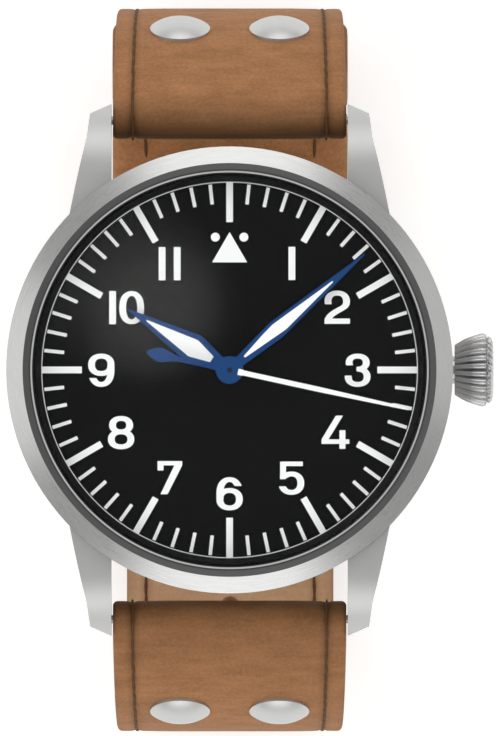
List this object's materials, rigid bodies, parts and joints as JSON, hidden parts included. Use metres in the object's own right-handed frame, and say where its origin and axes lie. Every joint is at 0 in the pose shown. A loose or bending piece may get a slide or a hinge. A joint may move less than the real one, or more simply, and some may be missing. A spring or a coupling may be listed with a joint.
{
  "type": "pilot watch",
  "caption": "Round steel wristwatch with a black dial, blued sword hands, onion crown and riveted leather strap with a pin buckle, strap undone and standing on its loop.",
  "frame": {"origin": "middle of the case back's outer face, under the axis of the hands", "axes": "+Z out through the crystal, +Y to the 12, +X to the crown at the 3"},
  "size_m": [0.0458, 0.0688, 0.0666],
  "materials": {
    "brushed_steel": "brushed",
    "polished_steel": "polished",
    "case_back_steel": "turned",
    "sapphire": "polished",
    "white_gasket": "moulded",
    "black_rubber": "moulded",
    "flange_black": "matt",
    "dial_black": "matt",
    "dial_print": "printed",
    "blued_steel": "blued",
    "hand_lume": "filled",
    "seconds_paint": "painted",
    "movement_brass": "gilt",
    "movement_nickel": "satin",
    "movement_steel": "polished",
    "ruby": "polished",
    "leather": "waxed",
    "lining": "smooth",
    "rivet_steel": "satin",
    "buckle_steel": "brushed"
  },
  "bodies": {
    "watch_head": {"case_middle": "brushed_steel", "bezel": "brushed_steel", "crystal": "sapphire", "crystal_gasket": "white_gasket", "flange_ring": "flange_black", "case_back": "case_back_steel", "case_back_gasket": "black_rubber", "dial": "dial_black", "dial_markers": "dial_print", "mainplate": "movement_nickel", "barrel_bridge": "movement_nickel", "train_bridge": "movement_nickel", "balance_cock": "movement_nickel", "pallet_bridge": "movement_nickel", "bridge_screws": "movement_steel", "jewels": "ruby", "movement_ring": "movement_nickel", "case_tube": "polished_steel", "spring_bar_barrels": "polished_steel", "spring_bar_tips": "polished_steel"},
    "seconds_train": {"fourth_wheel": "movement_brass", "seconds_hand": "seconds_paint"},
    "third_train": {"third_wheel": "movement_brass"},
    "minute_train": {"centre_wheel": "movement_brass", "cannon_pinion": "movement_steel", "minute_hand": "blued_steel", "minute_hand_lume": "hand_lume"},
    "hour_train": {"hour_wheel": "movement_brass", "hour_hand": "blued_steel", "hour_hand_lume": "hand_lume"},
    "minute_works": {"minute_wheel": "movement_brass"},
    "escape_train": {"escape_wheel": "movement_steel"},
    "fork": {"pallet_fork": "movement_steel"},
    "balance": {"balance_wheel": "movement_brass", "hairspring": "movement_steel"},
    "going_barrel": {"barrel_drum": "movement_brass", "barrel_lid": "movement_brass", "mainspring": "movement_steel"},
    "winding_arbor": {"barrel_arbor": "movement_steel", "ratchet_wheel": "movement_steel"},
    "crown_wheel_body": {"crown_wheel": "movement_steel"},
    "stem_pinion": {"winding_pinion": "movement_steel"},
    "stem_clutch": {"sliding_pinion": "movement_steel"},
    "crown_body": {"crown": "polished_steel", "winding_stem": "movement_steel", "crown_gasket": "black_rubber"},
    "click_body": {"click": "movement_steel"},
    "buckle_strap": {"buckle_strap_leather": "leather", "buckle_strap_lining": "lining", "buckle_strap_rivets": "rivet_steel", "fixed_keeper": "leather", "buckle_bar": "buckle_steel"},
    "keeper_loop": {"free_keeper": "leather"},
    "buckle": {"buckle_frame": "buckle_steel"},
    "tongue": {"buckle_tongue": "buckle_steel"},
    "tail_strap": {"tail_strap_leather": "leather", "tail_strap_lining": "lining", "tail_strap_rivets": "rivet_steel"}
  },
  "joints": [
    {"name": "seconds_turn", "type": "hinge", "parent": "watch_head", "child": "seconds_train", "pos_m": [0, 0, 0.0052], "axis": [0, 0, -1], "continuous": true},
    {"name": "third_turn", "type": "hinge", "parent": "watch_head", "child": "third_train", "pos_m": [-0.00442, 0.00255, 0.0052], "axis": [0, 0, -1], "continuous": true},
    {"name": "minute_turn", "type": "hinge", "parent": "watch_head", "child": "minute_train", "pos_m": [0, 0, 0.0052], "axis": [0, 0, -1], "continuous": true},
    {"name": "hour_turn", "type": "hinge", "parent": "watch_head", "child": "hour_train", "pos_m": [0, 0, 0.0052], "axis": [0, 0, -1], "continuous": true},
    {"name": "minute_works_turn", "type": "hinge", "parent": "watch_head", "child": "minute_works", "pos_m": [0.0016, -0.00277, 0.0052], "axis": [0, 0, -1], "continuous": true},
    {"name": "escape_turn", "type": "hinge", "parent": "watch_head", "child": "escape_train", "pos_m": [-0.00433, -0.00303, 0.0052], "axis": [0, 0, -1], "continuous": true},
    {"name": "barrel_turn", "type": "hinge", "parent": "watch_head", "child": "going_barrel", "pos_m": [0.00319, 0.00685, 0.0052], "axis": [0, 0, -1], "continuous": true},
    {"name": "crown_turn", "type": "hinge", "parent": "watch_head", "child": "stem_pinion", "pos_m": [0.01014, 0, 0.0039], "axis": [1, 0, 0], "continuous": true},
    {"name": "crown_wheel_turn", "type": "hinge", "parent": "watch_head", "child": "crown_wheel_body", "pos_m": [0.00779, 0, 0.0018], "axis": [0, 0, 1], "continuous": true},
    {"name": "winding_arbor_turn", "type": "hinge", "parent": "watch_head", "child": "winding_arbor", "pos_m": [0.00319, 0.00685, 0.0018], "axis": [0, 0, 1], "continuous": true},
    {"name": "crown_pull", "type": "slide", "parent": "stem_pinion", "child": "crown_body", "axis": [1, 0, 0], "range_m": [0, 0.0012]},
    {"name": "clutch_slide", "type": "slide", "parent": "stem_pinion", "child": "stem_clutch", "axis": [-1, 0, 0], "range_m": [0, 0.00072]},
    {"name": "fork_swing", "type": "hinge", "parent": "watch_head", "child": "fork", "pos_m": [-0.00568, -0.00537, 0.0046], "axis": [0, 0, 1], "range_deg": [-5, 5]},
    {"name": "balance_swing", "type": "hinge", "parent": "watch_head", "child": "balance", "pos_m": [-0.0046, -0.0089, 0.0035], "axis": [0, 0, 1], "range_deg": [-270, 270], "stiffness_Nm_per_rad": 0.00000025},
    {"name": "click_swing", "type": "hinge", "parent": "watch_head", "child": "click_body", "pos_m": [-0.00101, 0.01225, 0.0018], "axis": [0, 0, 1], "range_deg": [0, 8]},
    {"name": "buckle_strap_swing", "type": "hinge", "parent": "watch_head", "child": "buckle_strap", "pos_m": [0, 0.0235, 0.0026], "axis": [1, 0, 0], "range_deg": [0, 80]},
    {"name": "tail_strap_swing", "type": "hinge", "parent": "watch_head", "child": "tail_strap", "pos_m": [0, -0.0235, 0.0026], "axis": [-1, 0, 0], "range_deg": [0, 80]},
    {"name": "keeper_shift", "type": "hinge", "parent": "buckle_strap", "child": "keeper_loop", "pos_m": [0, 0.016, -0.03287], "axis": [1, 0, 0], "range_deg": [-6, 35]},
    {"name": "buckle_swing", "type": "hinge", "parent": "buckle_strap", "child": "buckle", "pos_m": [0, 0.012, -0.05012], "axis": [1, 0, 0], "range_deg": [-3, 60]},
    {"name": "tongue_swing", "type": "hinge", "parent": "buckle", "child": "tongue", "pos_m": [0, 0.012, -0.05012], "axis": [1, 0, 0], "range_deg": [0, 60]}
  ],
  "couplings": [
    {"joint": "third_turn", "follows": "seconds_turn", "ratio": -0.13333},
    {"joint": "minute_turn", "follows": "seconds_turn", "ratio": 0.016667},
    {"joint": "hour_turn", "follows": "seconds_turn", "ratio": 0.0013889},
    {"joint": "minute_works_turn", "follows": "seconds_turn", "ratio": -0.0055556},
    {"joint": "escape_turn", "follows": "seconds_turn", "ratio": -10},
    {"joint": "barrel_turn", "follows": "seconds_turn", "ratio": -0.0027778},
    {"joint": "crown_wheel_turn", "follows": "crown_turn", "ratio": 0.5},
    {"joint": "winding_arbor_turn", "follows": "crown_turn", "ratio": -0.28571},
    {"joint": "clutch_slide", "follows": "crown_pull", "ratio": 0.6},
    {"joint": "tail_strap_swing", "follows": "buckle_strap_swing", "ratio": 1}
  ]
}
